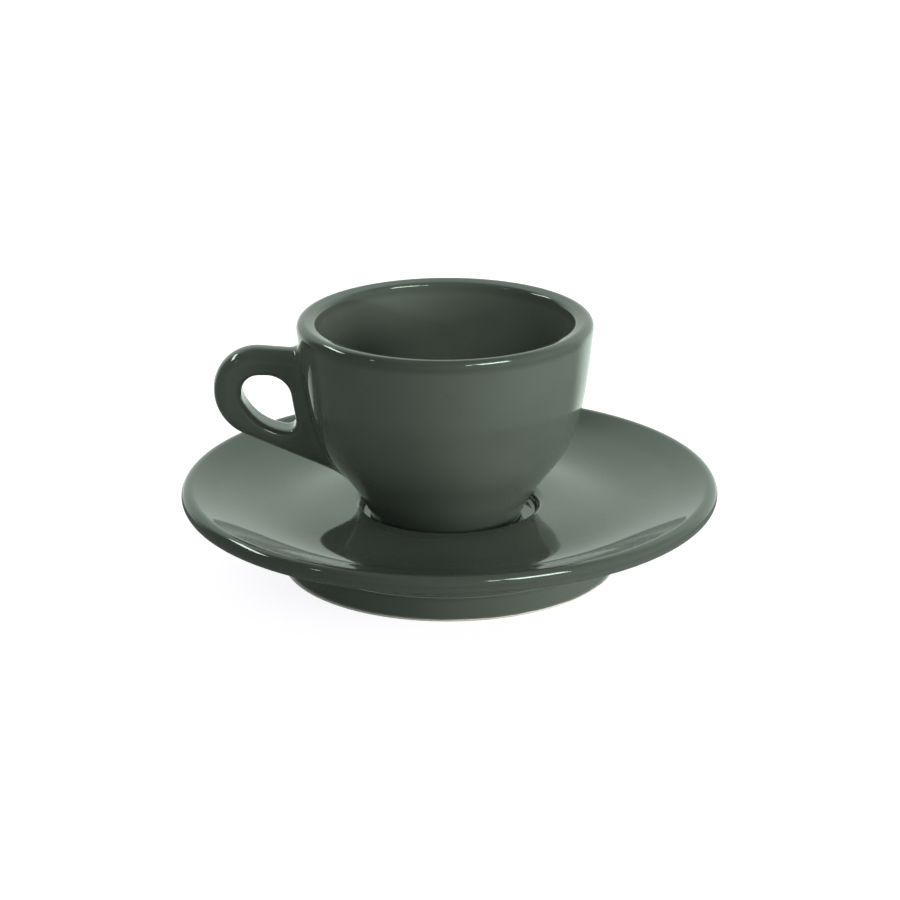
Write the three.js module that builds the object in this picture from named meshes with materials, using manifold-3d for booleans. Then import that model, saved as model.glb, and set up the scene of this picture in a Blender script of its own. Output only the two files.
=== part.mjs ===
// Espresso cup and saucer in glazed stoneware, in millimetres, +Z up.
// The origin is the centre of the saucer's foot ring, on the table. The cup stands in the saucer's well,
// and its handle points to -X.

import * as THREE from 'three';
import { mergeVertices } from 'three/addons/utils/BufferGeometryUtils.js';
import Module from 'manifold-3d';

const wasm = await Module();
wasm.setup();

const degrees = THREE.MathUtils.degToRad;

// Saucer: plate, rim and foot ring
const saucerDiameter = 120;
const saucerHeight = 19;
const rimThickness = 4;
const rimSlope = degrees(24.5);
const saucerHollow = 7;
const plateThickness = 4;
const saucerFootDiameter = 75.4;
const saucerFootWidth = 4;
const saucerFootEdge = 0.5;
const saucerFootFillet = 2.5;
const saucerShoulder = 6;

// The pulls of the dish's curve, as shares of the dish's own width. They are long enough for the dish to dip
// below the ring round the well.
const dishRimPull = 0.62;
const dishMiddlePull = 0.36;

// Saucer: the well that takes the cup's foot, with its clearance to the cup's wall at the top of the well
const wellDepth = 3;
const wellClearance = 1.6;
const wellEdge = 1.9;
const wellFillet = 1;
const wellLand = 4;

// Cup: the bowl and its foot ring, heights above the well's floor
const cupRimDiameter = 65.6;
const cupHeight = 45.8;
const lipThickness = 4.4;
const lipRound = 1.75;
const lipSlope = degrees(15);
const lipEdge = 1.2;
const cupFootDiameter = 34;
const cupFootStep = 1;
const cupFootWidth = 3.6;
const cupFootRecess = 1.4;
const cupFootEdge = 0.5;
const cupFloor = 5.5;
const wallFootLean = degrees(26.6);
const wallLipLean = degrees(5.15);
const insideLipLean = degrees(12);

// The pulls of the wall's curves, as shares of the wall's own height, and on the floor of the foot's radius
const wallFootPull = 0.469;
const wallLipPull = 0.807;
const insideLipPull = 0.66;
const insideFloorPull = 1.147;

// The cup stands this far off the saucer's centre, towards its handle, within the play of the well
const cupShift = 0.8;

// Handle: how far it stands out past the lip, its unrounded top corner below the lip, how its top rises
// towards that corner, the height of its back, and the height of its tail's underside where that would meet
// the foot's radius
const handleStandOut = 18.65;
const handleTopDrop = 5.5;
const handleTopTilt = degrees(4.5);
const handleBackHeight = 18.1;
const handleTailFoot = 6.86;
const handleWidth = 8.6;
const handleTopThickness = 7;
const handleBackThickness = 6.4;
const handleTailThickness = 5.5;
const handleWeb = 3.3;
const handleTopRadius = 9.8;
const handleHeelRadius = 11;
const jointGap = 0.3;

// Finger hole: the height of its back, and the slopes of its heel and its floor
const holeBackHeight = 5.6;
const holeHeelSlope = degrees(55);
const holeFloorSlope = degrees(13);
const holeBackRadius = 3.8;
const holeHeelRadius = 4.5;
const holeFloorRadius = 11.5;
const holeTopRadius = 5.5;
const holeTailRadius = 2;

// How far the rounding of the handle's edges reaches along the section and aside, outside and at the hole
const outerRoundAlong = 3.4;
const outerRoundAside = 4.2;
const holeRoundAlong = 1.5;
const holeRoundAside = 2.4;

// How finely round stretches are cut into flats
const turnSegments = 56;
const flatness = 0.06;
const samePlace = 0.001;
const curveSteps = 12;
const halvings = 30;
const handleStations = 56;
const handleRoundSteps = 4;

// Glaze
const glazeColour = 0x4d564e;
const glazeRoughness = 0.12;
const glazeMetalness = 0;

const wellFloor = saucerHollow + plateThickness;

// Points of an arc, from one angle to another, close enough for its flats to stay within the flatness.
function arcPoints(centre, radius, from, to) {
  const widestStep = 2 * Math.acos(Math.max(0, 1 - flatness / radius));
  const steps = Math.ceil(Math.abs(to - from) / widestStep);
  const points = [];
  for (let step = 0; step <= steps; step += 1) {
    const angle = from + ((to - from) * step) / steps;
    points.push(new THREE.Vector2(
      centre.x + radius * Math.cos(angle),
      centre.y + radius * Math.sin(angle),
    ));
  }
  return points;
}

// The points of an outline without those that repeat the one before. In a closed outline the first point
// follows the last.
function withoutRepeats(points, closed) {
  return points.filter((point, index) => {
    const before = index === 0 && !closed ? null : points.at(index - 1);
    return before === null || point.distanceTo(before) > samePlace;
  });
}

// The sides that meet at a corner, and half of the angle between them.
function cornerSides(before, corner, after) {
  const back = before.clone().sub(corner);
  const ahead = after.clone().sub(corner);
  const backLength = back.length();
  const aheadLength = ahead.length();
  back.normalize();
  ahead.normalize();
  const halfAngle = Math.acos(THREE.MathUtils.clamp(back.dot(ahead), -1, 1)) / 2;
  return { back, ahead, backLength, aheadLength, halfAngle };
}

// The arc that rounds one corner of an outline.
function cornerArc(corner, sides, radius) {
  const middle = sides.back.clone().add(sides.ahead).normalize();
  const centre = corner.clone().addScaledVector(middle, radius / Math.sin(sides.halfAngle));
  const turn = Math.PI - 2 * sides.halfAngle;
  const hand = Math.sign(sides.back.cross(sides.ahead));
  const start = Math.atan2(-middle.y, -middle.x) + (hand * turn) / 2;
  return arcPoints(centre, radius, start, start - hand * turn);
}

// An outline through corners, each [across, up, rounding]. An open one keeps its two ends as they are.
// Where two roundings need more than the side between them, both shrink to share it.
function roundedOutline(corners, closed) {
  const count = corners.length;
  const spots = corners.map(([across, up]) => new THREE.Vector2(across, up));
  const sides = spots.map((spot, index) => (
    cornerSides(spots[(index + count - 1) % count], spot, spots[(index + 1) % count])
  ));
  const radii = corners.map(([, , radius], index) => {
    const isEnd = !closed && (index === 0 || index === count - 1);
    return isEnd ? 0 : radius ?? 0;
  });
  const reaches = radii.map((radius, index) => radius / Math.tan(sides[index].halfAngle));
  const points = spots.flatMap((spot, index) => {
    if (radii[index] === 0) {
      return [spot];
    }
    const backNeed = reaches[index] + reaches[(index + count - 1) % count];
    const aheadNeed = reaches[index] + reaches[(index + 1) % count];
    const share = Math.min(1, sides[index].backLength / backNeed, sides[index].aheadLength / aheadNeed);
    return cornerArc(spot, sides[index], radii[index] * share);
  });
  return withoutRepeats(points, closed);
}

// One solid of revolution about +Z. Its profile of (radius, height) points starts and ends on the axis.
function turned(profile) {
  const geometry = new THREE.LatheGeometry(withoutRepeats(profile, false), turnSegments);
  geometry.rotateX(Math.PI / 2);
  return geometry;
}

// A curve between two points, with the direction and the pull at each end.
function bentLine(from, fromAngle, fromPull, to, toAngle, toPull) {
  const leave = new THREE.Vector2(Math.cos(fromAngle), Math.sin(fromAngle));
  const arrive = new THREE.Vector2(Math.cos(toAngle), Math.sin(toAngle));
  return new THREE.CubicBezierCurve(
    from,
    from.clone().addScaledVector(leave, fromPull),
    to.clone().addScaledVector(arrive, -toPull),
    to,
  );
}

function glaze() {
  return new THREE.MeshStandardMaterial({
    color: glazeColour,
    roughness: glazeRoughness,
    metalness: glazeMetalness,
  });
}

function named(name, geometry) {
  const mesh = new THREE.Mesh(geometry, glaze());
  mesh.name = name;
  return mesh;
}

// Saucer: the underside with its foot ring, the round rim, the dish and the well.
function saucerGeometry() {
  const footOuter = saucerFootDiameter / 2;
  const footInner = footOuter - saucerFootWidth;
  const rimRadius = rimThickness / 2;
  const rimCentre = new THREE.Vector2(saucerDiameter / 2 - rimRadius, saucerHeight - rimRadius);

  // The underside runs straight from the foot's shoulder and meets the round of the rim
  const shoulder = new THREE.Vector2(footOuter, saucerShoulder);
  const toRim = rimCentre.clone().sub(shoulder);
  const underAngle = toRim.angle() - Math.asin(rimRadius / toRim.length());
  const rim = [
    ...arcPoints(rimCentre, rimRadius, underAngle - Math.PI / 2, 0),
    ...arcPoints(rimCentre, rimRadius, 0, Math.PI / 2),
    ...arcPoints(rimCentre, rimRadius, Math.PI / 2, Math.PI / 2 + rimSlope),
  ];

  const underside = roundedOutline([
    [0, saucerHollow],
    [footInner, saucerHollow, saucerFootFillet],
    [footInner, 0, saucerFootEdge],
    [footOuter, 0, saucerFootEdge],
    [footOuter, saucerShoulder, saucerFootFillet],
    [rim[0].x, rim[0].y],
  ], false);

  const wellRadius = wallRadiusAt(wellDepth) + wellClearance;
  const wellTop = wellFloor + wellDepth;
  const land = new THREE.Vector2(wellRadius + wellLand, wellTop);
  const dishEdge = rim.at(-1);
  const dishWidth = dishEdge.x - land.x;
  const dish = bentLine(
    dishEdge, Math.PI + rimSlope, dishRimPull * dishWidth,
    land, Math.PI, dishMiddlePull * dishWidth,
  );

  const well = roundedOutline([
    [land.x, land.y],
    [wellRadius, wellTop, wellEdge],
    [wellRadius, wellFloor, wellFillet],
    [0, wellFloor],
  ], false);

  return turned([...underside, ...rim, ...dish.getPoints(curveSteps), ...well]);
}

// The cup's lip: the outer round, a slope towards the inside, and the inner edge.
function lipOutline() {
  const outer = new THREE.Vector2(cupRimDiameter / 2 - lipRound, cupHeight - lipRound);
  const facing = Math.PI / 2 + lipSlope;
  const across = cupRimDiameter / 2 - lipThickness + lipEdge;
  const step = lipRound - lipEdge + (outer.x - across) * Math.cos(facing);
  const inner = new THREE.Vector2(across, outer.y + step / Math.sin(facing));
  return [
    ...arcPoints(outer, lipRound, -wallLipLean, 0),
    ...arcPoints(outer, lipRound, 0, Math.PI / 2),
    ...arcPoints(outer, lipRound, Math.PI / 2, facing),
    ...arcPoints(inner, lipEdge, facing, Math.PI - insideLipLean),
  ];
}

// The outer wall of the cup, from the top of the foot's step to the lip.
function outerWall() {
  const foot = new THREE.Vector2(cupFootDiameter / 2, cupFootStep);
  const lip = lipOutline()[0];
  const rise = lip.y - foot.y;
  const upright = Math.PI / 2;
  return bentLine(
    foot, upright - wallFootLean, wallFootPull * rise,
    lip, upright - wallLipLean, wallLipPull * rise,
  );
}

// The radius of the cup's outer wall at a height, found by halving the curve.
function wallRadiusAt(height) {
  const wall = outerWall();
  let low = 0;
  let high = 1;
  for (let halving = 0; halving < halvings; halving += 1) {
    const middle = (low + high) / 2;
    if (wall.getPoint(middle).y < height) {
      low = middle;
    } else {
      high = middle;
    }
  }
  return wall.getPoint(low).x;
}

// Cup: foot ring, outer wall, lip, inside wall and floor.
function cupGeometry() {
  const footOuter = cupFootDiameter / 2;
  const foot = roundedOutline([
    [0, cupFootRecess],
    [footOuter - cupFootWidth, cupFootRecess, cupFootEdge],
    [footOuter - cupFootWidth, 0, cupFootEdge],
    [footOuter, 0, cupFootEdge],
    [footOuter, cupFootStep],
  ], false);

  const lip = lipOutline();
  const insideTop = lip.at(-1);
  const insideDrop = insideTop.y - cupFloor;
  const middle = new THREE.Vector2(0, cupFloor);
  const inside = bentLine(
    insideTop, -Math.PI / 2 - insideLipLean, insideLipPull * insideDrop,
    middle, Math.PI, insideFloorPull * footOuter,
  );

  const wall = outerWall();
  return turned([...foot, ...wall.getPoints(curveSteps), ...lip, ...inside.getPoints(curveSteps)]);
}

// The cup's outer shape as one filled solid, grown by the gap, which trims the handle to the wall.
function wallCutter() {
  const gap = new THREE.Vector2(jointGap, 0);
  const grown = outerWall().getPoints(curveSteps).map((point) => point.add(gap));
  const bottom = new THREE.Vector2(grown[0].x, -cupFootStep);
  const top = new THREE.Vector2(grown.at(-1).x, cupHeight);
  return turned([new THREE.Vector2(0, bottom.y), bottom, ...grown, top, new THREE.Vector2(0, top.y)]);
}

// How far a ray from inside a bulging outline, which turns left all the way, runs before it leaves it.
function rayLength(outline, from, ray) {
  const lengths = outline.map((spot, index) => {
    const before = outline.at(index - 1);
    const outward = new THREE.Vector2(spot.y - before.y, before.x - spot.x);
    const facing = outward.dot(ray);
    return facing > 0 ? outward.dot(spot.clone().sub(from)) / facing : Infinity;
  });
  return Math.min(...lengths);
}

// The ear's outline and the outline of its finger hole, across from the cup's axis and up. The ear's root
// lies inside the cup's wall.
function handleOutlines() {
  const reach = cupRimDiameter / 2 + handleStandOut;
  const top = cupHeight - handleTopDrop;
  const heel = top - handleBackHeight;
  const root = cupFootDiameter / 2;
  const tailSlope = Math.atan2(heel - handleTailFoot, reach - root);
  const ear = roundedOutline([
    [root, top - (reach - root) * Math.tan(handleTopTilt)],
    [root, handleTailFoot],
    [reach, heel, handleHeelRadius],
    [reach, top, handleTopRadius],
  ], true);

  const holeTop = top - handleTopThickness;
  const holeBack = reach - handleBackThickness;
  const holeHeel = holeTop - holeBackHeight;
  const webTop = wallRadiusAt(holeTop) + handleWeb;
  const webFoot = wallRadiusAt(holeHeel - holeBackHeight) + handleWeb;
  const tailTop = handleTailFoot + (webFoot - root) * Math.tan(tailSlope);
  const holeTail = tailTop + handleTailThickness / Math.cos(tailSlope);

  // The heel's slope and the floor's slope meet in one more corner
  const heelRun = Math.tan(holeHeelSlope);
  const floorRun = Math.tan(holeFloorSlope);
  const fall = holeHeel - holeTail - (holeBack - webFoot) * floorRun;
  const floorReach = fall / (heelRun - floorRun);
  const hole = roundedOutline([
    [webTop, holeTop, holeTopRadius],
    [webFoot, holeTail, holeTailRadius],
    [holeBack - floorReach, holeHeel - floorReach * heelRun, holeFloorRadius],
    [holeBack, holeHeel, holeHeelRadius],
    [holeBack, holeTop, holeBackRadius],
  ], true);
  const middle = new THREE.Vector2((webTop + holeBack) / 2, (holeTop + holeTail) / 2);
  return { ear, hole, middle };
}

// One section of the handle between its inner and outer face, as (along, side) points, with rounded edges.
// Where the section is thinner than both roundings, they shrink to share it.
function handleSection(inner, outer) {
  const share = Math.min(1, (outer - inner) / (outerRoundAlong + holeRoundAlong));
  const outerEdge = { along: share * outerRoundAlong, aside: outerRoundAside };
  const holeEdge = { along: share * holeRoundAlong, aside: holeRoundAside };
  outerEdge.middle = outer - outerEdge.along;
  holeEdge.middle = inner + holeEdge.along;
  const quarters = [[outerEdge, 1], [holeEdge, 1], [holeEdge, -1], [outerEdge, -1]];
  return quarters.flatMap(([edge, side], quarter) => {
    const points = [];
    for (let step = 0; step <= handleRoundSteps; step += 1) {
      const angle = ((quarter + step / handleRoundSteps) * Math.PI) / 2;
      points.push(new THREE.Vector2(
        edge.middle + edge.along * Math.cos(angle),
        side * (handleWidth / 2 - edge.aside) + edge.aside * Math.sin(angle),
      ));
    }
    return points;
  });
}

// Handle: a ring of sections round the finger hole, in the upright plane through the cup's axis, towards -X.
function handleBlank() {
  const { ear, hole, middle } = handleOutlines();
  const places = [];
  const faces = [];
  for (let station = 0; station < handleStations; station += 1) {
    const angle = (2 * Math.PI * station) / handleStations;
    const ray = new THREE.Vector2(Math.cos(angle), Math.sin(angle));
    const section = handleSection(rayLength(hole, middle, ray), rayLength(ear, middle, ray));
    const count = section.length;
    const here = station * count;
    const next = ((station + 1) % handleStations) * count;
    section.forEach((point, index) => {
      const after = (index + 1) % count;
      places.push(-middle.x - ray.x * point.x, point.y, middle.y + ray.y * point.x);
      faces.push(here + index, next + index, next + after);
      faces.push(here + index, next + after, here + after);
    });
  }
  const geometry = new THREE.BufferGeometry();
  geometry.setAttribute('position', new THREE.Float32BufferAttribute(places, 3));
  geometry.setIndex(faces);
  return geometry;
}

// A closed geometry as a solid that can be cut.
function solid(geometry) {
  geometry.deleteAttribute('normal');
  geometry.deleteAttribute('uv');
  const merged = mergeVertices(geometry);
  return new wasm.Manifold(new wasm.Mesh({
    numProp: 3,
    vertProperties: new Float32Array(merged.attributes.position.array),
    triVerts: new Uint32Array(merged.index.array),
  }));
}

// The handle trimmed to the cup's wall.
function handleGeometry() {
  const trimmed = solid(handleBlank()).subtract(solid(wallCutter())).getMesh();
  const geometry = new THREE.BufferGeometry();
  geometry.setAttribute('position', new THREE.BufferAttribute(new Float32Array(trimmed.vertProperties), 3));
  geometry.setIndex(new THREE.BufferAttribute(new Uint32Array(trimmed.triVerts), 1));
  geometry.computeVertexNormals();
  return geometry;
}

const cup = new THREE.Group();
cup.position.set(-cupShift, 0, wellFloor);
cup.add(named('cup_body', cupGeometry()));
cup.add(named('cup_handle', handleGeometry()));

const part = new THREE.Group();
part.add(named('saucer', saucerGeometry()));
part.add(cup);

export default part;
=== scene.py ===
"""Looks of an espresso cup and saucer in dark glazed ceramic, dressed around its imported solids.

Lengths are in metres, +Z up. The origin is the middle of the saucer's foot ring, on the table, and the cup's
handle points to -X.
"""

import logging
import math
from collections.abc import Callable, Sequence
from dataclasses import dataclass, field
from enum import Enum, IntEnum
from typing import Any, NamedTuple

import bpy
import numpy as np
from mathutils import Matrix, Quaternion, Vector


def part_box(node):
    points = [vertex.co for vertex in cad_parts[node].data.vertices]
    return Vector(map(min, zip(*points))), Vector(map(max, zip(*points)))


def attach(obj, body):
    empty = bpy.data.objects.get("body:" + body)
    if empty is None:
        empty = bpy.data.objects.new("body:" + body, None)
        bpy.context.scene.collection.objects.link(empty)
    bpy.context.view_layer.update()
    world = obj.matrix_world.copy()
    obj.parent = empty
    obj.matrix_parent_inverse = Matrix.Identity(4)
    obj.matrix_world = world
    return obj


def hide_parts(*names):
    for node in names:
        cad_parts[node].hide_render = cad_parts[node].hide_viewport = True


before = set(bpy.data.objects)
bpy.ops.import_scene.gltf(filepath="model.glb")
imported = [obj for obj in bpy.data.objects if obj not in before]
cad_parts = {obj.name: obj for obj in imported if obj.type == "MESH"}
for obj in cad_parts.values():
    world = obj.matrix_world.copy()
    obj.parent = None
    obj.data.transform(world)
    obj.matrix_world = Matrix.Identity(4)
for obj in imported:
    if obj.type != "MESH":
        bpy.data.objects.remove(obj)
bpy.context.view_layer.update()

MM = 0.001
UP = math.pi / 2
NOISE_MIDDLE = 0.5

log = logging.getLogger("espresso_cup")

Point = tuple[float, float]
Colour = tuple[float, float, float, float]
Array = np.ndarray


class Body(Enum):
    """The moving bodies that pieces ride on."""

    SAUCER = "saucer"
    CUP = "cup"


class MixPort(IntEnum):
    """Places of the colour sockets on a Mix node."""

    FACTOR = 0
    FIRST = 6
    SECOND = 7
    RESULT = 2


class Corner(NamedTuple):
    """A corner of an outline, with the radius that rounds it."""

    across: float
    up: float
    radius: float = 0.0


class Wire:
    """A shader socket that takes part in sums: each operator adds one Math node."""

    def __init__(self, graph: "Graph", socket: bpy.types.NodeSocket) -> None:
        """Keeps the socket with the graph that it belongs to."""
        self.graph = graph
        self.socket = socket

    def math(self, operation: str, *operands: "Wire | float") -> "Wire":
        """Adds a Math node.

        Args:
            operation: Blender's name of the sum.
            operands: Its values, in order.

        Returns:
            The node's result.
        """
        return self.graph.node("ShaderNodeMath", {"operation": operation}, dict(enumerate(operands)))[0]

    def __add__(self, other: "Wire | float") -> "Wire":
        """This value plus another."""
        return self.math("ADD", self, other)

    def __radd__(self, other: "Wire | float") -> "Wire":
        """Another value plus this one."""
        return self.math("ADD", other, self)

    def __sub__(self, other: "Wire | float") -> "Wire":
        """This value less another."""
        return self.math("SUBTRACT", self, other)

    def __rsub__(self, other: "Wire | float") -> "Wire":
        """Another value less this one."""
        return self.math("SUBTRACT", other, self)

    def __mul__(self, other: "Wire | float") -> "Wire":
        """This value times another."""
        return self.math("MULTIPLY", self, other)

    def __rmul__(self, other: "Wire | float") -> "Wire":
        """Another value times this one."""
        return self.math("MULTIPLY", other, self)

    def __or__(self, other: "Wire | float") -> "Wire":
        """The larger of two values, for masks."""
        return self.math("MAXIMUM", self, other)

    def __ror__(self, other: "Wire | float") -> "Wire":
        """The larger of two values, for masks."""
        return self.math("MAXIMUM", other, self)

    def angle_from(self, other: "Wire | float") -> "Wire":
        """The angle whose tangent is this value over another."""
        return self.math("ARCTAN2", self, other)

    def eased(self, start: float, end: float) -> "Wire":
        """Rises softly from 0 to 1 as this value goes from start to end.

        Args:
            start: Where the rise starts.
            end: Where it ends.

        Returns:
            A mask from 0 to 1.
        """
        ends = {"Value": self, "From Min": start, "From Max": end}
        return self.graph.node("ShaderNodeMapRange", {"interpolation_type": "SMOOTHSTEP"}, ends)[0]


class Outputs:
    """The output sockets of a node."""

    def __init__(self, graph: "Graph", node: bpy.types.Node) -> None:
        """Keeps the node with the graph that it belongs to."""
        self.graph = graph
        self.node = node

    def __getitem__(self, name: str | int) -> Wire:
        """One output, by its name or place."""
        return Wire(self.graph, self.node.outputs[name])


class Graph:
    """The node tree of one material or of the world."""

    def __init__(self, tree: bpy.types.NodeTree) -> None:
        """Takes over a tree and clears it."""
        self.tree = tree
        tree.nodes.clear()

    @classmethod
    def of_material(cls, name: str) -> tuple["Graph", bpy.types.Material]:
        """Makes an empty material.

        Args:
            name: The material's name.

        Returns:
            Its graph and the material.
        """
        material = bpy.data.materials.new(name)
        material.use_nodes = True
        return cls(material.node_tree), material

    def node(self, kind: str, settings: dict[str, Any], inputs: dict[Any, Any]) -> Outputs:
        """Adds any node.

        Args:
            kind: The node's type.
            settings: Its own settings, which are set first.
            inputs: The values or wires of its sockets, by name or place.

        Returns:
            The node's outputs.
        """
        made = self.tree.nodes.new(kind)
        for name, value in settings.items():
            setattr(made, name, value)
        for name, value in inputs.items():
            if isinstance(value, Wire):
                self.tree.links.new(value.socket, made.inputs[name])
            else:
                made.inputs[name].default_value = value
        return Outputs(self, made)

    def blend(self, mask: Wire, first: "Wire | Colour", second: "Wire | Colour") -> Wire:
        """Goes from one colour to another.

        Args:
            mask: 0 for the first colour, 1 for the second.
            first: A colour.
            second: Another.

        Returns:
            The blended colour.
        """
        ends = {MixPort.FACTOR: mask, MixPort.FIRST: first, MixPort.SECOND: second}
        mixed = self.node("ShaderNodeMix", {"data_type": "RGBA"}, {int(k): v for k, v in ends.items()})
        return mixed[int(MixPort.RESULT)]

    def noise(self, place: Wire, size: float, detail: float) -> Wire:
        """Cloudy noise about a half.

        Args:
            place: Where the surface is, in metres.
            size: The width of its clouds, in metres.
            detail: How many finer layers it has.

        Returns:
            A value from 0 to 1.
        """
        inputs = {"Vector": place, "Scale": 1 / size, "Detail": detail}
        return self.node("ShaderNodeTexNoise", {}, inputs)["Fac"]

    def output(self, kind: str, surface: Wire) -> None:
        """Ends the graph in its output node."""
        self.node(kind, {}, {"Surface": surface})


@dataclass(frozen=True)
class Band:
    """Heights on a piece: where it stands bare, and its top, towards which a painted shade darkens the glaze.

    Attributes:
        bare_top: The bare clay reaches up to here.
        shade_peak: The highest place, where the painted shade is darkest.
    """

    bare_top: float
    shade_peak: float


@dataclass(frozen=True)
class Glaze:
    """Dark grey-green glossy glaze on a pale fired body, bare where the piece stood in the kiln."""

    colour: Colour = (0.070, 0.084, 0.069, 1.0)
    deep_colour: Colour = (0.062, 0.075, 0.061, 1.0)
    # Painted shade: a darker glaze that the top edges, the cup's lip and the saucer's rim, are darkened
    # towards.
    top_shaded_colour: Colour = (0.046, 0.056, 0.046, 1.0)
    speck_colour: Colour = (0.040, 0.052, 0.043, 1.0)
    clay_colour: Colour = (0.62, 0.585, 0.53, 1.0)
    clay_shade: Colour = (0.50, 0.465, 0.41, 1.0)
    gloss: float = 0.045
    gloss_spread: float = 0.03
    clay_roughness: float = 0.82
    refraction: float = 1.68
    mirror_tint: Colour = (0.80, 1.0, 0.84, 1.0)
    cloud_size: float = 24 * MM
    cloud_detail: float = 3
    cloud_range: tuple[float, float] = (0.35, 0.65)
    speck_size: float = 0.45 * MM
    speck_detail: float = 2
    speck_range: tuple[float, float] = (0.66, 0.74)
    speck_share: float = 0.5
    ripple_size: float = 7 * MM
    ripple_detail: float = 1
    ripple_height: float = 0.012 * MM
    grain_size: float = 0.35 * MM
    grain_detail: float = 4
    grain_range: tuple[float, float] = (0.35, 0.7)
    grain_height: float = 0.03 * MM
    # How far below the top the painted shade reaches, and how much of the darker glaze it takes on.
    top_shade_reach: float = 3.4 * MM
    top_shade_strength: float = 0.9
    bare_blur: float = 0.12 * MM
    bare_waver: float = 0.3 * MM

    def material(self, name: str, band: Band) -> bpy.types.Material:
        """Makes the glaze for one piece.

        Args:
            name: The material's name.
            band: Where the piece is bare, and the top towards which painted shade darkens it.

        Returns:
            The material.
        """
        graph, material = Graph.of_material(name)
        place = graph.node("ShaderNodeTexCoord", {}, {})["Object"]
        height = graph.node("ShaderNodeSeparateXYZ", {}, {"Vector": place})["Z"]
        clouds = graph.noise(place, self.cloud_size, self.cloud_detail)
        ripple = graph.noise(place, self.ripple_size, self.ripple_detail)
        grain = graph.noise(place, self.grain_size, self.grain_detail)
        specks = graph.noise(place, self.speck_size, self.speck_detail)

        line = height + (ripple - NOISE_MIDDLE) * self.bare_waver
        bare = 1 - line.eased(band.bare_top - self.bare_blur, band.bare_top + self.bare_blur)
        # Painted shade: the glaze darkens towards each piece's top, the cup's lip and the saucer's rim,
        # standing in for less light on those edges.
        darkening_from = band.shade_peak - self.top_shade_reach
        darkening_to = band.shade_peak - self.top_shade_reach / 2
        top_darkening = height.eased(darkening_from, darkening_to) * self.top_shade_strength
        body = graph.blend(clouds.eased(*self.cloud_range), self.deep_colour, self.colour)
        flecked = graph.blend(specks.eased(*self.speck_range) * self.speck_share, body, self.speck_colour)
        top_darkened = graph.blend(top_darkening, flecked, self.top_shaded_colour)
        clay = graph.blend(grain.eased(*self.grain_range), self.clay_shade, self.clay_colour)
        glazed_roughness = self.gloss + self.gloss_spread * clouds
        roughness = glazed_roughness + bare * (self.clay_roughness - glazed_roughness)
        relief = (1 - bare) * ripple * self.ripple_height + bare * grain * self.grain_height
        bump = {"Strength": 1.0, "Distance": 1.0, "Height": relief}
        bumped = graph.node("ShaderNodeBump", {}, bump)["Normal"]
        surface = graph.node("ShaderNodeBsdfPrincipled", {}, {
            "Base Color": graph.blend(bare, top_darkened, clay),
            "Roughness": roughness,
            "IOR": self.refraction,
            "Specular Tint": self.mirror_tint,
            "Normal": bumped,
        })["BSDF"]
        graph.output("ShaderNodeOutputMaterial", surface)
        return material


def arc(centre: Point, radius: float, start: float, end: float) -> list[Point]:
    """Points along an arc, a few degrees apart.

    Args:
        centre: The arc's centre.
        radius: Its radius.
        start: The angle that it starts at.
        end: The angle that it ends at.

    Returns:
        The points, both ends included.
    """
    widest_step = math.radians(5)
    steps = max(1, math.ceil(abs(end - start) / widest_step))
    angles = [start + (end - start) * step / steps for step in range(steps + 1)]
    return [(centre[0] + radius * math.cos(a), centre[1] + radius * math.sin(a)) for a in angles]


def bent_line(start: Point, start_angle: float, start_pull: float,
              end: Point, end_angle: float, end_pull: float, steps: int = 48) -> list[Point]:
    """Points along a curve with a given direction and pull at each end.

    Args:
        start: Where the curve starts.
        start_angle: Its direction there.
        start_pull: How far it keeps to that direction.
        end: Where it ends.
        end_angle: Its direction there.
        end_pull: How far it keeps to that direction.
        steps: How many pieces it is cut into.

    Returns:
        The points, both ends included.
    """
    leave = Vector(start) + start_pull * Vector((math.cos(start_angle), math.sin(start_angle)))
    arrive = Vector(end) - end_pull * Vector((math.cos(end_angle), math.sin(end_angle)))
    points = []
    for step in range(steps + 1):
        t = step / steps
        s = 1 - t
        spot = s ** 3 * Vector(start) + 3 * s * s * t * leave + 3 * s * t * t * arrive + t ** 3 * Vector(end)
        points.append((spot.x, spot.y))
    return points


def rounded(corners: Sequence[Corner], closed: bool = False) -> list[Point]:
    """Points along straight sides whose corners are rounded.

    Args:
        corners: The corners in order.
        closed: Whether the last side runs back to the first corner.

    Returns:
        The points.
    """
    points: list[Point] = []
    for index, corner in enumerate(corners):
        spot = Vector((corner.across, corner.up))
        if corner.radius == 0 or (not closed and index in (0, len(corners) - 1)):
            points.append((spot.x, spot.y))
            continue
        before = corners[index - 1]
        after = corners[(index + 1) % len(corners)]
        back = (Vector((before.across, before.up)) - spot).normalized()
        ahead = (Vector((after.across, after.up)) - spot).normalized()
        half = back.angle(ahead) / 2
        middle = (back + ahead).normalized()
        centre = spot + middle * (corner.radius / math.sin(half))
        turn = math.copysign(math.pi - 2 * half, back.x * ahead.y - back.y * ahead.x)
        start = math.atan2(-middle.y, -middle.x) + turn / 2
        points += arc((centre.x, centre.y), corner.radius, start, start - turn)
    return points


def smooth_mesh(name: str, places: Sequence[Sequence[float]],
                faces: Sequence[Sequence[int]]) -> bpy.types.Object:
    """Makes a smooth-shaded object and puts it in the scene.

    Args:
        name: The object's name.
        places: Its vertices.
        faces: Its faces, as places in that list.

    Returns:
        The object.
    """
    mesh = bpy.data.meshes.new(name)
    mesh.from_pydata(places, [], faces)
    mesh.validate()
    mesh.shade_smooth()
    made = bpy.data.objects.new(name, mesh)
    bpy.context.scene.collection.objects.link(made)
    return made


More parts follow.
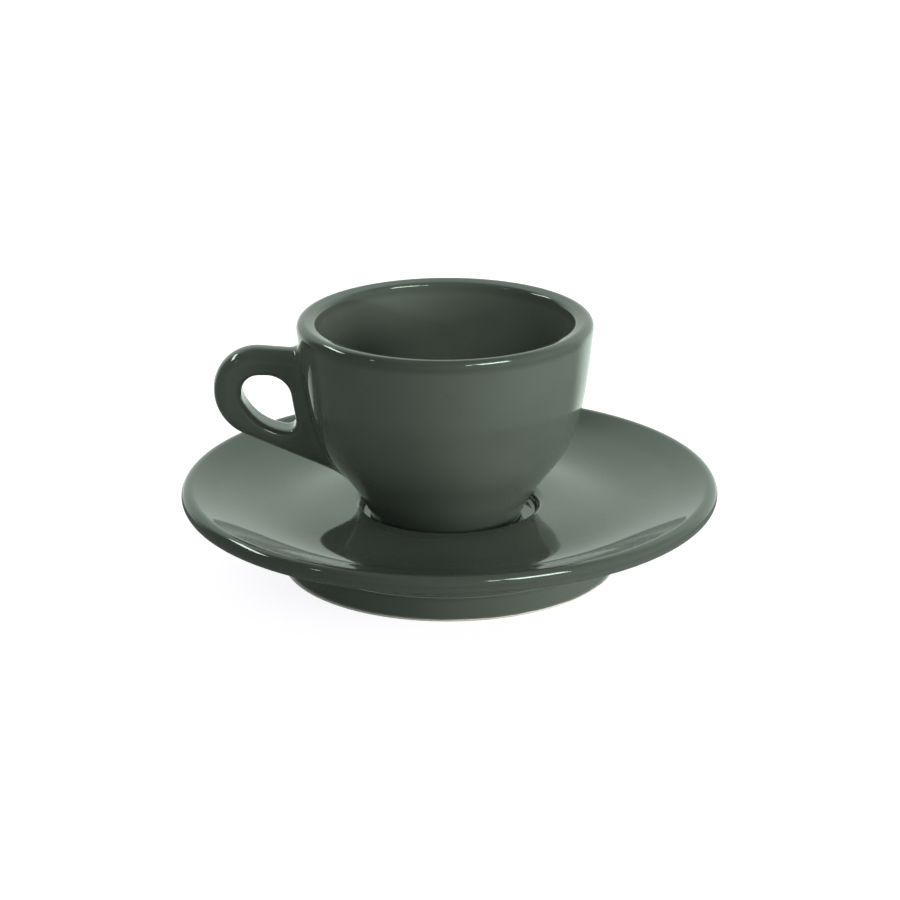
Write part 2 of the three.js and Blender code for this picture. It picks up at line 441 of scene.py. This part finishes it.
def revolve(name: str, profile: Sequence[Point], axis: Point, segments: int) -> bpy.types.Object:
    """Turns a profile about an upright axis into a closed mesh.

    Args:
        name: The object's name.
        profile: (radius, height) points, from the axis underneath to the axis on top.
        axis: Where the axis stands.
        segments: How many steps the turn has.

    Returns:
        The object.
    """
    same_place = 0.001 * MM
    line = [profile[0]]
    for spot in profile[1:]:
        if math.dist(spot, line[-1]) > same_place:
            line.append(spot)
    rings = line[1:-1]
    places = [(axis[0], axis[1], line[0][1])]
    for radius, height in rings:
        for segment in range(segments):
            angle = 2 * math.pi * segment / segments
            places.append((axis[0] + radius * math.cos(angle), axis[1] + radius * math.sin(angle), height))
    places.append((axis[0], axis[1], line[-1][1]))

    faces: list[tuple[int, ...]] = []
    last = len(places) - 1
    for segment in range(segments):
        after = (segment + 1) % segments
        faces.append((0, 1 + after, 1 + segment))
        for ring in range(len(rings) - 1):
            low = 1 + ring * segments
            high = low + segments
            faces.append((low + segment, low + after, high + after, high + segment))
        top = last - segments
        faces.append((top + segment, top + after, last))
    return smooth_mesh(name, places, faces)


@dataclass
class Saucer:
    """The saucer: a dish with a round rim, a well for the cup's foot and a foot ring."""

    rim_thickness: float = 4 * MM
    rim_slope: float = math.radians(24.5)
    hollow: float = 7 * MM
    plate_thickness: float = 4 * MM
    foot_diameter: float = 75.4 * MM
    foot_width: float = 4 * MM
    foot_edge: float = 0.5 * MM
    foot_fillet: float = 2.5 * MM
    shoulder: float = 6 * MM
    dish_rim_pull: float = 0.62
    dish_middle_pull: float = 0.36
    well_depth: float = 3 * MM
    well_radius: float = 19.6 * MM
    well_edge: float = 1.9 * MM
    well_fillet: float = 1 * MM
    well_land: float = 4 * MM
    bare_height: float = 0.55 * MM
    segments: int = 224

    def profile(self) -> list[Point]:
        """The saucer's section, from the axis underneath round the rim to the middle of the well.

        Returns:
            (radius, height) points.
        """
        low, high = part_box("saucer")
        foot = self.foot_diameter / 2
        inner = foot - self.foot_width
        rim = self.rim_thickness / 2
        centre = Vector((high.x - rim, high.z - rim))
        shoulder = Vector((foot, self.shoulder))
        to_rim = centre - shoulder
        under_angle = math.atan2(to_rim.y, to_rim.x) - math.asin(rim / to_rim.length)
        edge = arc(tuple(centre), rim, under_angle - UP, UP + self.rim_slope)
        underside = rounded([
            Corner(0, low.z + self.hollow),
            Corner(inner, low.z + self.hollow, self.foot_fillet),
            Corner(inner, low.z, self.foot_edge),
            Corner(foot, low.z, self.foot_edge),
            Corner(foot, self.shoulder, self.foot_fillet),
            Corner(*edge[0]),
        ])
        floor = low.z + self.hollow + self.plate_thickness
        land = (self.well_radius + self.well_land, floor + self.well_depth)
        width = edge[-1][0] - land[0]
        dish = bent_line(edge[-1], math.pi + self.rim_slope, self.dish_rim_pull * width,
                         land, math.pi, self.dish_middle_pull * width)
        well = rounded([
            Corner(*land),
            Corner(self.well_radius, land[1], self.well_edge),
            Corner(self.well_radius, floor, self.well_fillet),
            Corner(0, floor),
        ])
        return underside + edge + dish + well

    def build(self, glaze: Glaze) -> bpy.types.Object:
        """Makes the saucer and dresses it.

        Args:
            glaze: Its finish.

        Returns:
            The piece that stands for the solid.
        """
        low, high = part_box("saucer")
        piece = revolve("saucer_dish", self.profile(), (0, 0), self.segments)
        piece.data.materials.append(glaze.material("saucer_glaze", Band(low.z + self.bare_height, high.z)))
        return settle(piece, Body.SAUCER, "saucer")


@dataclass
class CupBowl:
    """The cup's bowl: a foot ring, a wall that swells to a round lip, and the inside."""

    lip_thickness: float = 4.4 * MM
    lip_round: float = 1.75 * MM
    lip_slope: float = math.radians(15)
    lip_edge: float = 1.2 * MM
    foot_diameter: float = 34 * MM
    foot_step: float = 1 * MM
    foot_width: float = 3.6 * MM
    foot_recess: float = 1.4 * MM
    foot_edge: float = 0.5 * MM
    floor: float = 5.5 * MM
    wall_foot_lean: float = math.radians(26.6)
    wall_lip_lean: float = math.radians(5.15)
    inside_lip_lean: float = math.radians(12)
    wall_foot_pull: float = 0.469
    wall_lip_pull: float = 0.807
    inside_lip_pull: float = 0.66
    inside_floor_pull: float = 1.147
    bare_height: float = 0.4 * MM
    inside_steps: int = 72
    segments: int = 224
    base: float = field(init=False)
    height: float = field(init=False)
    rim_radius: float = field(init=False)
    axis: Point = field(init=False)

    def __post_init__(self) -> None:
        """Takes the cup's place, height and rim from its solid."""
        low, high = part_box("cup_body")
        self.base = low.z
        self.height = high.z - low.z
        self.rim_radius = (high.x - low.x) / 2
        self.axis = ((low.x + high.x) / 2, (low.y + high.y) / 2)

    def lip(self) -> list[Point]:
        """The lip: the outer round, a slope towards the inside, and the inner edge.

        Returns:
            (radius, height above the base) points.
        """
        outer = (self.rim_radius - self.lip_round, self.height - self.lip_round)
        facing = UP + self.lip_slope
        across = self.rim_radius - self.lip_thickness + self.lip_edge
        step = self.lip_round - self.lip_edge + (outer[0] - across) * math.cos(facing)
        inner = (across, outer[1] + step / math.sin(facing))
        outer_round = arc(outer, self.lip_round, -self.wall_lip_lean, facing)
        inner_edge = arc(inner, self.lip_edge, facing, math.pi - self.inside_lip_lean)
        return outer_round + inner_edge

    def wall(self, steps: int = 64) -> list[Point]:
        """The outer wall, from the foot's step up to the lip.

        Args:
            steps: How many pieces it is cut into.

        Returns:
            (radius, height above the base) points.
        """
        foot = (self.foot_diameter / 2, self.foot_step)
        lip = self.lip()[0]
        rise = lip[1] - foot[1]
        return bent_line(foot, UP - self.wall_foot_lean, self.wall_foot_pull * rise,
                         lip, UP - self.wall_lip_lean, self.wall_lip_pull * rise, steps)

    def profile(self) -> list[Point]:
        """The bowl's section, from the axis underneath over the lip to the middle of the floor.

        Returns:
            (radius, height) points.
        """
        outer = self.foot_diameter / 2
        foot = rounded([
            Corner(0, self.foot_recess),
            Corner(outer - self.foot_width, self.foot_recess, self.foot_edge),
            Corner(outer - self.foot_width, 0, self.foot_edge),
            Corner(outer, 0, self.foot_edge),
            Corner(outer, self.foot_step),
        ])
        lip = self.lip()
        drop = lip[-1][1] - self.floor
        inside = bent_line(lip[-1], -UP - self.inside_lip_lean, self.inside_lip_pull * drop,
                           (0, self.floor), math.pi, self.inside_floor_pull * outer, self.inside_steps)
        return [(radius, self.base + height) for radius, height in foot + self.wall() + lip + inside]

    def build(self, glaze: Glaze) -> bpy.types.Object:
        """Makes the bowl and dresses it.

        Args:
            glaze: Its finish.

        Returns:
            The piece that stands for the solid.
        """
        piece = revolve("cup_bowl", self.profile(), self.axis, self.segments)
        band = Band(self.base + self.bare_height, self.base + self.height)
        piece.data.materials.append(glaze.material("cup_glaze", band))
        return settle(piece, Body.CUP, "cup_body")


@dataclass
class CupHandle:
    """The pierced ear, luted to the bowl's wall with a fillet all round.

    Attributes:
        bowl: The bowl that it grows out of.
    """

    bowl: CupBowl
    stand_out: float = 18.65 * MM
    top_drop: float = 5.5 * MM
    top_tilt: float = math.radians(4.5)
    back_height: float = 18.1 * MM
    tail_foot: float = 6.86 * MM
    width: float = 8.6 * MM
    top_thickness: float = 7 * MM
    back_thickness: float = 6.4 * MM
    tail_thickness: float = 5.5 * MM
    web: float = 3.3 * MM
    top_radius: float = 9.76 * MM
    heel_radius: float = 10.95 * MM
    hole_back_height: float = 5.6 * MM
    hole_heel_slope: float = math.radians(55)
    hole_floor_slope: float = math.radians(13)
    hole_back_radius: float = 3.8 * MM
    hole_heel_radius: float = 4.5 * MM
    hole_floor_radius: float = 11.5 * MM
    hole_top_radius: float = 5.5 * MM
    hole_tail_radius: float = 2 * MM
    outer_round_along: float = 3.4 * MM
    outer_round_aside: float = 4.2 * MM
    hole_round_along: float = 1.5 * MM
    hole_round_aside: float = 2.4 * MM
    fillet: float = 2.4 * MM
    fillet_reach: float = 1.1
    search_margin: float = 2.5
    sunk: float = 0.04 * MM
    root_depth: float = 1.6 * MM
    wall_steps: int = 400
    wall_nudge: float = 0.2 * MM
    cell: float = 0.42 * MM
    ear: Array = field(init=False)
    hole: Array = field(init=False)
    wall: Array = field(init=False)

    def __post_init__(self) -> None:
        """Works out the outlines of the ear, its hole and the wall, from the cup's axis and base."""
        self.wall = np.array(self.bowl.wall(self.wall_steps))
        reach = self.bowl.rim_radius + self.stand_out
        top = self.bowl.height - self.top_drop
        heel = top - self.back_height
        root = self.bowl.foot_diameter / 2
        slope = math.atan2(heel - self.tail_foot, reach - root)
        self.ear = np.array(rounded([
            Corner(root, top - (reach - root) * math.tan(self.top_tilt)),
            Corner(root, self.tail_foot),
            Corner(reach, heel, self.heel_radius),
            Corner(reach, top, self.top_radius),
        ], closed=True))
        hole_top = top - self.top_thickness
        hole_back = reach - self.back_thickness
        hole_heel = hole_top - self.hole_back_height
        web_top = self.wall_radius(hole_top) + self.web
        web_foot = self.wall_radius(hole_heel - self.hole_back_height) + self.web
        tail_top = self.tail_foot + (web_foot - root) * math.tan(slope)
        hole_tail = tail_top + self.tail_thickness / math.cos(slope)
        heel_run = math.tan(self.hole_heel_slope)
        floor_run = math.tan(self.hole_floor_slope)
        fall = hole_heel - hole_tail - (hole_back - web_foot) * floor_run
        hole_floor = hole_back - fall / (heel_run - floor_run)
        self.hole = np.array(rounded([
            Corner(web_top, hole_top, self.hole_top_radius),
            Corner(web_foot, hole_tail, self.hole_tail_radius),
            Corner(hole_floor, hole_heel - (hole_back - hole_floor) * heel_run, self.hole_floor_radius),
            Corner(hole_back, hole_heel, self.hole_heel_radius),
            Corner(hole_back, hole_top, self.hole_back_radius),
        ], closed=True))

    def wall_radius(self, height: "float | Array") -> "float | Array":
        """The radius of the bowl's outer wall at a height above its base."""
        return np.interp(height, self.wall[:, 1], self.wall[:, 0])

    def depth_in_wall(self, places: Array) -> Array:
        """How far places lie outside the bowl's wall, less than 0 inside it.

        Args:
            places: (x, y, z) rows.

        Returns:
            One distance for each.
        """
        height = places[:, 2] - self.bowl.base
        radius = np.hypot(places[:, 0] - self.bowl.axis[0], places[:, 1] - self.bowl.axis[1])
        above = self.wall_radius(height + self.wall_nudge)
        below = self.wall_radius(height - self.wall_nudge)
        lean = (above - below) / (2 * self.wall_nudge)
        return (radius - self.wall_radius(height)) / np.sqrt(1 + lean * lean)

    def ear_distance(self, places: Array) -> Array:
        """How far places lie outside the ear alone, less than 0 inside it.

        Args:
            places: (x, y, z) rows.

        Returns:
            One distance for each.
        """
        flat = np.column_stack((self.bowl.axis[0] - places[:, 0], places[:, 2] - self.bowl.base))
        side = np.abs(places[:, 1]) - self.width / 2
        outer = rounded_edge(outline_distance(flat, self.ear), side,
                             self.outer_round_along, self.outer_round_aside)
        inner = rounded_edge(-outline_distance(flat, self.hole), side,
                             self.hole_round_along, self.hole_round_aside)
        return np.maximum(outer, inner)

    def distance(self, places: Array) -> Array:
        """How far places lie outside the finished handle, with its fillet and its root in the wall.

        Args:
            places: (x, y, z) rows.

        Returns:
            One distance for each, less than 0 inside.
        """
        ear = self.ear_distance(places)
        wall = self.depth_in_wall(places)
        overlap = np.maximum(self.fillet - np.abs(ear - wall), 0) / self.fillet
        joined = np.minimum(ear, wall) - overlap * overlap * self.fillet / 4
        root = -wall - self.root_depth
        near = ear - self.fillet_reach * self.fillet
        return np.maximum.reduce([joined + self.sunk, root, near])

    def build(self, glaze: Glaze) -> bpy.types.Object:
        """Makes the handle and dresses it.

        Args:
            glaze: Its finish.

        Returns:
            The piece that stands for the solid.
        """
        low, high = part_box("cup_handle")
        margin = Vector((self.search_margin,) * 3) * self.fillet
        places, faces = field_mesh(self.distance, low - margin, high + margin, self.cell)
        piece = smooth_mesh("cup_ear", places.tolist(), faces.tolist())
        band = Band(self.bowl.base, self.bowl.base + self.bowl.height)
        piece.data.materials.append(glaze.material("ear_glaze", band))
        return settle(piece, Body.CUP, "cup_handle")


def rounded_edge(along: Array, aside: Array, round_along: float, round_aside: float) -> Array:
    """How far spots lie outside the edge between two faces, which is rounded as a quarter of an ellipse.

    Args:
        along: How far the spots lie outside the first face.
        aside: How far they lie outside the second face.
        round_along: How far the rounding reaches in from the first face.
        round_aside: How far it reaches in from the second face.

    Returns:
        One distance for each spot, less than 0 inside.
    """
    first = along / round_along + 1
    second = aside / round_aside + 1
    outside = np.hypot(np.maximum(first, 0), np.maximum(second, 0))
    inside = np.minimum(np.maximum(first, second), 0)
    return (outside + inside - 1) * round_along


def outline_distance(spots: Array, outline: Array) -> Array:
    """How far spots lie outside a bulging closed outline, less than 0 inside it.

    Args:
        spots: (across, up) rows.
        outline: The outline's corners, turning left all the way.

    Returns:
        One distance for each spot.
    """
    same_place = 1e-6 * MM
    side = np.roll(outline, -1, axis=0) - outline
    kept = np.hypot(side[:, 0], side[:, 1]) > same_place
    start = outline[kept]
    side = side[kept]
    length = np.hypot(side[:, 0], side[:, 1])
    across = spots[:, None, 0] - start[None, :, 0]
    up = spots[:, None, 1] - start[None, :, 1]
    share = np.clip((across * side[:, 0] + up * side[:, 1]) / length ** 2, 0, 1)
    gap = np.hypot(across - share * side[:, 0], up - share * side[:, 1]).min(axis=1)
    outside = ((across * side[:, 1] - up * side[:, 0]) / length).max(axis=1)
    return np.where(outside > 0, gap, -gap)


def in_batches(distance: Callable[[Array], Array], places: Array, batch: int = 20000) -> Array:
    """Measures many places a batch at a time, to save memory.

    Args:
        distance: The measure.
        places: (x, y, z) rows.
        batch: How many rows are taken at once.

    Returns:
        One distance for each row.
    """
    return np.concatenate([distance(places[i:i + batch]) for i in range(0, len(places), batch)])


def pulled_to_surface(distance: Callable[[Array], Array], places: Array, nudge: float) -> Array:
    """Moves places along the field's slope, on to its surface.

    Args:
        distance: The field, 0 on the surface.
        places: (x, y, z) rows near it.
        nudge: The step that slopes are measured over.

    Returns:
        The moved rows.
    """
    least_steepness = 0.25
    value = in_batches(distance, places)
    slope = np.empty_like(places)
    for way in range(3):
        step = np.zeros(3)
        step[way] = nudge
        slope[:, way] = in_batches(distance, places + step) - in_batches(distance, places - step)
    slope /= 2 * nudge
    steepness = np.maximum((slope * slope).sum(axis=1), least_steepness)
    return places - slope * (value / steepness)[:, None]


def field_mesh(distance: Callable[[Array], Array], low: Vector, high: Vector,
               cell: float) -> tuple[Array, Array]:
    """The surface of a field as a closed mesh of quads, with a vertex for each grid cell that it crosses.

    Args:
        distance: The field, less than 0 inside.
        low: Lowest corner of the space to search.
        high: Highest corner.
        cell: The width of the grid's cells.

    Returns:
        The vertices and the faces.
    """
    first_pulls = 3
    smoothings = 4
    nudge = cell / 8
    axes = [np.arange(low[way], high[way] + cell, cell) for way in range(3)]
    grid = np.stack(np.meshgrid(*axes, indexing="ij"), axis=-1)
    inside = in_batches(distance, grid.reshape(-1, 3)).reshape(grid.shape[:3]) < 0
    cells = np.array(inside.shape) - 1
    corners = [(i, j, k) for i in (0, 1) for j in (0, 1) for k in (0, 1)]
    count = sum(inside[i:i + cells[0], j:j + cells[1], k:k + cells[2]].astype(int) for i, j, k in corners)
    crossed = (count > 0) & (count < len(corners))
    number = np.full(crossed.shape, -1)
    number[crossed] = np.arange(crossed.sum())
    places = np.argwhere(crossed) * cell + np.array(low) + cell / 2

    faces = []
    unit = np.eye(3, dtype=int)
    for way in range(3):
        ahead = np.roll(inside, -1, axis=way)
        changed = inside != ahead
        changed[tuple(slice(-1, None) if axis == way else slice(None) for axis in range(3))] = False
        spots = np.argwhere(changed)
        one = unit[(way + 1) % 3]
        two = unit[(way + 2) % 3]
        shifts = (0 * one, one, one + two, two)
        ring = np.stack([number[tuple((spots - shift).T)] for shift in shifts], axis=1)
        leaving = inside[tuple(spots.T)]
        faces.append(np.where(leaving[:, None], ring, ring[:, ::-1]))
    quads = np.concatenate(faces)

    for _ in range(first_pulls):
        places = pulled_to_surface(distance, places, nudge)
    for _ in range(smoothings):
        total = np.zeros_like(places)
        share = np.zeros(len(places))
        for corner in range(4):
            np.add.at(total, quads[:, corner], places[quads].mean(axis=1))
            np.add.at(share, quads[:, corner], 1)
        places = pulled_to_surface(distance, (places + total / share[:, None]) / 2, nudge)
    return places, quads


def settle(piece: bpy.types.Object, body: Body, node: str) -> bpy.types.Object:
    """Makes a piece ride on its body in place of its solid.

    Args:
        piece: The dressed piece.
        body: The body that carries it.
        node: The solid that it stands for.

    Returns:
        The piece.
    """
    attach(piece, body.value)
    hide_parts(node)
    faces = len(piece.data.polygons)
    log.info("%s rides on %s in place of %s: %d faces", piece.name, body.value, node, faces)
    return piece


@dataclass(frozen=True)
class Lamp:
    """A soft lamp, placed round the object. An azimuth of 0 is the camera's side, and it grows to the right.

    Attributes:
        name: The lamp's name.
        azimuth: Its bearing, in degrees.
        elevation: Its height above the horizon, in degrees.
        breadth: Its width, in degrees seen from the object.
        depth: Its height, in degrees.
        brightness: Its brightness, where 1 is white.
        fills: Whether it lights surfaces softly.
        mirrored: Whether glossy surfaces show it.
    """

    name: str
    azimuth: float
    elevation: float
    breadth: float
    depth: float
    brightness: float
    fills: bool = True
    mirrored: bool = True


@dataclass(frozen=True)
class Beam:
    """A narrow lamp with a soft edge that lights one place.

    Attributes:
        name: The lamp's name.
        azimuth: Its bearing from that place, in degrees.
        elevation: Its height above the horizon, in degrees.
        cone: How wide the beam opens, in degrees.
        power: Its power, in watts.
        aim: The place that it lights.
        softness: How much of the beam its soft edge takes up, from 0 to 1.
    """

    name: str
    azimuth: float
    elevation: float
    cone: float
    power: float
    aim: tuple[float, float, float]
    softness: float = 1.0


@dataclass
class Studio:
    """The pale floor, the white surround with its dark side, the lamps and the camera."""

    # Floor and surround: what is seen, and what lights
    paper: Colour = (0.99, 0.978, 1.0, 1.0)
    floor_size: float = 5.0
    floor_reflects: float = 0.36
    floor_glow: float = 0.86
    # Painted bounce light: the floor glows to light the object, fading out between these radii to a painted
    # shadow under and round the saucer.
    lighting_glow: float = 0.38
    shadow_fade_from: float = 45 * MM
    shadow_fade_to: float = 150 * MM
    ambient_low: float = 0.66
    ambient_high: float = 0.12

    # Camera
    camera_distance: float = 643.55 * MM
    camera_elevation: float = math.radians(19.568)
    camera_roll: float = math.radians(-0.27)
    camera_lens: float = 115.1
    camera_sensor: float = 36.0
    camera_target: tuple[float, float, float] = (0.16 * MM, 0.0, 25.78 * MM)

    # Lamps
    lamp_distance: float = 0.8
    mirror_depth: float = 2.5
    lamps: tuple[Lamp, ...] = (
        Lamp("right_strip", 45, 50, 20, 13, 14.0, fills=False),
        Lamp("right_bulb", 21, 48, 4, 5, 14.0, fills=False),
        Lamp("left_strip", -115, 42, 24, 6, 10.0, fills=False),
        Lamp("left_bulb", -66, 44, 3, 3, 10.0, fills=False),
        Lamp("right_fill", 68, 10, 60, 18, 16.2, mirrored=False),
        Lamp("front_fill", -30, 10, 60, 18, 0.7, mirrored=False),
        Lamp("left_fill", -120, 20, 50, 26, 2.0, mirrored=False),
        Lamp("back_fill", 180, 32, 80, 30, 4.6, mirrored=False),
    )
    mouth_beam: Beam = Beam("mouth_beam", 12, 34, 3.6, 11.0, (1.8 * MM, 22 * MM, 48 * MM))

    # Dark side of the room: its shape, where it covers the white surround, and how bright its parts are
    room_radius: float = 0.9
    room_rings: int = 12
    room_segments: int = 48
    sheet_lift: float = 0.5 * MM
    room_start: float = 37.8 * MM
    room_edge: float = 1 * MM
    dark_from: float = math.radians(-128)
    dark_to: float = math.radians(123)
    dark_blur: float = math.radians(12)
    sheet_mirror: float = 0.06
    sheet_roughness: float = 0.34
    ceiling_from: float = math.radians(42)
    ceiling_to: float = math.radians(60)
    dark_level: float = 0.10
    right_level: float = 0.18
    table_end: float = math.radians(1)
    wall_start: float = math.radians(4)
    right_from: float = math.radians(12)
    right_to: float = math.radians(34)
    ceiling_level: float = 0.30
    front_left_level: float = 0.05
    front_right_level: float = 0.42
    front_swing: float = math.radians(95)
    front_from: float = math.radians(52)
    front_to: float = math.radians(72)
    tint: Colour = (0.87, 1.0, 0.90, 1.0)

    def seen(self, graph: Graph) -> Wire:
        """1 for rays that look at the surround, straight, in a mirror or through glass, and else 0."""
        path = graph.node("ShaderNodeLightPath", {}, {})
        return path["Is Camera Ray"] | path["Is Glossy Ray"] | path["Is Transmission Ray"]

    def floor(self) -> bpy.types.Object:
        """The pale floor, which takes the object's shadow, and glows as painted bounce light that fades out
        under and round the saucer as a painted shadow.

        Returns:
            The floor.
        """
        half = self.floor_size / 2
        corners = [(-half, -half, 0), (half, -half, 0), (half, half, 0), (-half, half, 0)]
        made = smooth_mesh("floor", corners, [(0, 1, 2, 3)])
        graph, material = Graph.of_material("floor_paper")
        paper = tuple(self.floor_reflects * value for value in self.paper[:3]) + (1.0,)
        lit = graph.node("ShaderNodeBsdfDiffuse", {}, {"Color": paper})["BSDF"]
        place = graph.node("ShaderNodeTexCoord", {}, {})["Object"]
        radius = graph.node("ShaderNodeVectorMath", {"operation": "LENGTH"}, {0: place})["Value"]
        # Painted bounce light: a glow that lights the object, faded out under and round the saucer as a
        # painted shadow; rays that look at the floor see the plain glow instead.
        painted_bounce = radius.eased(self.shadow_fade_from, self.shadow_fade_to) * self.lighting_glow
        strength = painted_bounce + self.seen(graph) * (self.floor_glow - painted_bounce)
        glow = graph.node("ShaderNodeEmission", {}, {"Color": self.paper, "Strength": strength})["Emission"]
        both = graph.node("ShaderNodeAddShader", {}, {0: lit, 1: glow})[0]
        graph.output("ShaderNodeOutputMaterial", both)
        made.data.materials.append(material)
        return made

    def surround(self) -> None:
        """The white surround, as the world: white where it is seen, at a plain level where it lights."""
        world = bpy.data.worlds.new("white_surround")
        world.use_nodes = True
        bpy.context.scene.world = world
        graph = Graph(world.node_tree)
        seen = self.seen(graph)
        place = graph.node("ShaderNodeTexCoord", {}, {})["Generated"]
        rise = graph.node("ShaderNodeSeparateXYZ", {}, {"Vector": place})["Z"]
        ambient = self.ambient_low + rise.eased(0, 1) * (self.ambient_high - self.ambient_low)
        strength = seen + (1 - seen) * ambient
        surface = graph.node("ShaderNodeBackground", {}, {"Color": self.paper, "Strength": strength})[0]
        graph.output("ShaderNodeOutputWorld", surface)

    def dark_side(self) -> bpy.types.Object:
        """The unlit side of the room, towards the camera and overhead, which only mirror reflections show.

        Returns:
            A sheet over the floor with a dome on it.
        """
        rise = np.linspace(0, UP, self.room_rings + 1)[1:-1]
        profile = [(self.room_start, self.sheet_lift), (self.room_radius, self.sheet_lift)]
        profile += [(self.room_radius * math.cos(a), self.room_radius * math.sin(a)) for a in rise]
        count = self.room_segments
        turns = [2 * math.pi * step / count for step in range(count)]
        places = [(radius * math.sin(turn), -radius * math.cos(turn), height)
                  for radius, height in profile for turn in turns]
        places.append((0, 0, self.room_radius))
        faces: list[tuple[int, ...]] = []
        for ring in range(len(profile) - 1):
            low = ring * count
            high = low + count
            for step in range(count):
                after = (step + 1) % count
                faces.append((low + step, low + after, high + after, high + step))
        top = (len(profile) - 1) * count
        faces += [(top + step, top + (step + 1) % count, len(places) - 1) for step in range(count)]
        made = smooth_mesh("dark_side", places, faces)
        for way in ("camera", "diffuse", "transmission", "volume_scatter", "shadow"):
            setattr(made, f"visible_{way}", False)
        made.data.materials.append(self.dark_cloth())
        return made

    def dark_cloth(self) -> bpy.types.Material:
        """The dark side's cloth: clear towards the back, where the surround is white, and paler to the right.

        Returns:
            The material.
        """
        graph, material = Graph.of_material("dark_side_cloth")
        place = graph.node("ShaderNodeTexCoord", {}, {})["Object"]
        parts = graph.node("ShaderNodeSeparateXYZ", {}, {"Vector": place})
        level = graph.node("ShaderNodeVectorMath", {"operation": "MULTIPLY"}, {0: place, 1: (1, 1, 0)})[0]
        radius = graph.node("ShaderNodeVectorMath", {"operation": "LENGTH"}, {0: level})["Value"]
        bearing = parts["X"].angle_from(-1 * parts["Y"])
        elevation = parts["Z"].angle_from(radius)
        after = bearing.eased(self.dark_from - self.dark_blur, self.dark_from + self.dark_blur)
        before = bearing.eased(self.dark_to - self.dark_blur, self.dark_to + self.dark_blur)
        front = after * (1 - before) * radius.eased(self.room_start, self.room_start + self.room_edge)
        ceiling = elevation.eased(self.ceiling_from, self.ceiling_to)
        cover = front | ceiling
        right = bearing.eased(self.right_from, self.right_to)
        table = self.dark_level + right * (self.right_level - self.dark_level)
        lit = (1 - elevation.eased(self.front_from, self.front_to)) * front
        turn = bearing.eased(-self.front_swing, self.front_swing)
        front_level = self.front_left_level + turn * (self.front_right_level - self.front_left_level)
        room = self.ceiling_level + lit * (front_level - self.ceiling_level)
        shade = table + elevation.eased(self.table_end, self.wall_start) * (room - table)
        clear = graph.node("ShaderNodeBsdfTransparent", {}, {"Color": self.tint})[0]
        glow = graph.node("ShaderNodeEmission", {}, {"Color": self.tint, "Strength": shade})[0]
        mirror = (self.sheet_mirror, self.sheet_mirror, self.sheet_mirror, 1.0)
        shine = {"Color": mirror, "Roughness": self.sheet_roughness}
        gloss = graph.node("ShaderNodeBsdfGlossy", {}, shine)[0]
        cloth = graph.node("ShaderNodeAddShader", {}, {0: glow, 1: gloss})[0]
        surface = graph.node("ShaderNodeMixShader", {}, {0: cover, 1: clear, 2: cloth})[0]
        graph.output("ShaderNodeOutputMaterial", surface)
        return material

    def show_once(self, data: bpy.types.AreaLight) -> None:
        """Lets a lamp show in mirror reflections, but not in reflections of reflections.

        Args:
            data: The lamp's light.
        """
        data.use_nodes = True
        graph = Graph(data.node_tree)
        depth = graph.node("ShaderNodeLightPath", {}, {})["Ray Depth"]
        first = graph.node("ShaderNodeMath", {"operation": "LESS_THAN"}, {0: depth, 1: self.mirror_depth})[0]
        graph.output("ShaderNodeOutputLight", graph.node("ShaderNodeEmission", {}, {"Strength": first})[0])

    def hang(self, lamp: Lamp | Beam, data: bpy.types.Light,
             aim: Sequence[float] = (0, 0, 0)) -> bpy.types.Object:
        """Hangs a lamp round the object, facing it.

        Args:
            lamp: Where the lamp hangs.
            data: Its light.
            aim: The place that it faces.

        Returns:
            The lamp in the scene.
        """
        bearing = math.radians(lamp.azimuth)
        height = math.radians(lamp.elevation)
        level = math.cos(height)
        way = Vector((math.sin(bearing) * level, -math.cos(bearing) * level, math.sin(height)))
        made = bpy.data.objects.new(lamp.name, data)
        made.location = Vector(aim) + way * self.lamp_distance
        made.rotation_mode = "QUATERNION"
        made.rotation_quaternion = way.to_track_quat("Z", "Y")
        bpy.context.scene.collection.objects.link(made)
        return made

    def light(self) -> None:
        """The soft lamps round the object."""
        for lamp in self.lamps:
            data = bpy.data.lights.new(lamp.name, "AREA")
            data.shape = "RECTANGLE"
            data.size = 2 * self.lamp_distance * math.tan(math.radians(lamp.breadth) / 2)
            data.size_y = 2 * self.lamp_distance * math.tan(math.radians(lamp.depth) / 2)
            data.energy = lamp.brightness * math.pi * data.size * data.size_y
            if not lamp.fills:
                self.show_once(data)
            made = self.hang(lamp, data)
            made.visible_diffuse = lamp.fills
            made.visible_glossy = lamp.mirrored

    def light_mouth(self) -> None:
        """The beam into the cup's mouth."""
        beam = self.mouth_beam
        data = bpy.data.lights.new(beam.name, "SPOT")
        data.spot_size = math.radians(beam.cone)
        data.spot_blend = beam.softness
        data.energy = beam.power
        made = self.hang(beam, data, beam.aim)
        made.visible_glossy = False

    def camera(self) -> None:
        """The camera, at the height, distance and tilt of the photograph's view."""
        data = bpy.data.cameras.new("camera")
        data.lens = self.camera_lens
        data.sensor_width = self.camera_sensor
        made = bpy.data.objects.new("camera", data)
        back = Vector((0, -math.cos(self.camera_elevation), math.sin(self.camera_elevation)))
        made.location = Vector(self.camera_target) + back * self.camera_distance
        made.rotation_mode = "QUATERNION"
        level = back.to_track_quat("Z", "Y")
        made.rotation_quaternion = level @ Quaternion((0, 0, 1), self.camera_roll)
        bpy.context.scene.collection.objects.link(made)
        bpy.context.scene.camera = made

    def build(self) -> None:
        """Sets up the studio."""
        bpy.context.scene.view_settings.view_transform = "Standard"
        self.floor()
        self.surround()
        self.dark_side()
        self.light()
        self.light_mouth()
        self.camera()


def main() -> None:
    """Builds the studio and the pieces."""
    logging.basicConfig(level=logging.INFO, format="%(name)s: %(message)s")
    Studio().build()
    glaze = Glaze()
    Saucer().build(glaze)
    bowl = CupBowl()
    bowl.build(glaze)
    CupHandle(bowl).build(glaze)


if __name__ == "__main__":
    main()
